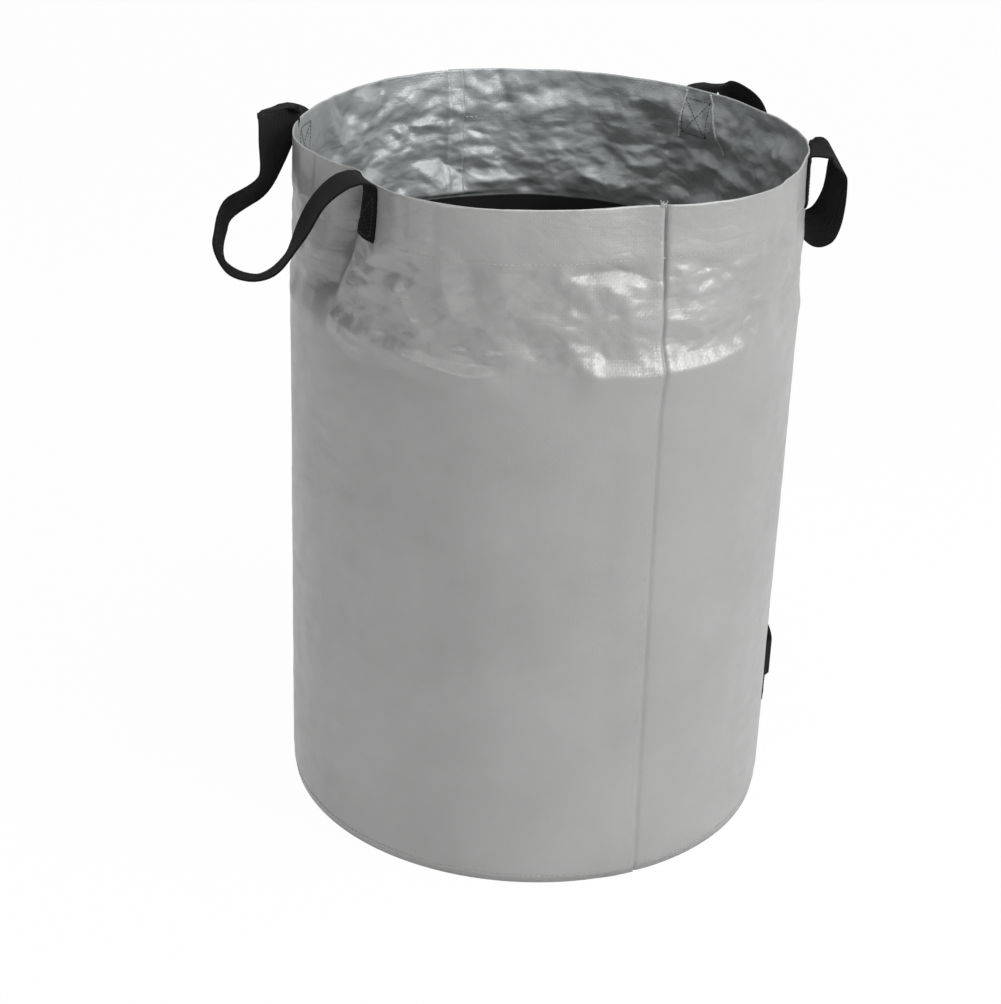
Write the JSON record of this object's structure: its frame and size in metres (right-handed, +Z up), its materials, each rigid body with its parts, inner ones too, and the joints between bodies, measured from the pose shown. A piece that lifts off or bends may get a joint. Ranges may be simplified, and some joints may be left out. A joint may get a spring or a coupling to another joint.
{
  "type": "leaf bag",
  "caption": "Upright round garden bag of coated woven cloth, open at the top, with webbing carry handles at the rim, a low tipping handle and a stiff lift-out liner.",
  "frame": {"origin": "middle of the base's underside, on the floor", "axes": "+Z up along the bag's axis; -Y is the front, towards the camera; the lapped front seam is 26 degrees round from -Y towards +X, the right"},
  "size_m": [0.5466, 0.4578, 0.6429],
  "materials": {
    "grey_cloth": "coated woven cloth, silver grey, soft sheen, crinkled near the rim",
    "black_sheet": "thin stiff black plastic sheet",
    "black_webbing": "flat woven black webbing"
  },
  "bodies": {
    "bag": {"wall_right_panel": "grey_cloth", "wall_left_panel": "grey_cloth", "base_panel": "grey_cloth", "left_handle_front_end": "black_webbing", "left_handle_rear_end": "black_webbing", "right_handle_front_end": "black_webbing", "right_handle_rear_end": "black_webbing", "low_handle_front_end": "black_webbing", "low_handle_rear_end": "black_webbing"},
    "left_handle": {"left_handle_loop": "black_webbing"},
    "right_handle": {"right_handle_loop": "black_webbing"},
    "low_handle": {"low_handle_loop": "black_webbing"},
    "liner": {"liner_sheet": "black_sheet"}
  },
  "joints": [
    {"name": "left_handle_swing", "type": "hinge", "parent": "bag", "child": "left_handle", "pos_m": [-0.15822, -0.16066, 0.637], "axis": [-0.362, 0.9322, 0], "range_deg": [-5, 120]},
    {"name": "right_handle_swing", "type": "hinge", "parent": "bag", "child": "right_handle", "pos_m": [0.236, -0.01186, 0.637], "axis": [0.4004, -0.9163, 0], "range_deg": [-5, 120]},
    {"name": "low_handle_swing", "type": "hinge", "parent": "bag", "child": "low_handle", "pos_m": [0.24001, 0.03801, 0.099], "axis": [0.3907, -0.9205, 0], "range_deg": [-35, 35]},
    {"name": "liner_lift", "type": "slide", "parent": "bag", "child": "liner", "axis": [0, 0, 1], "range_m": [0, 0.78]}
  ]
}
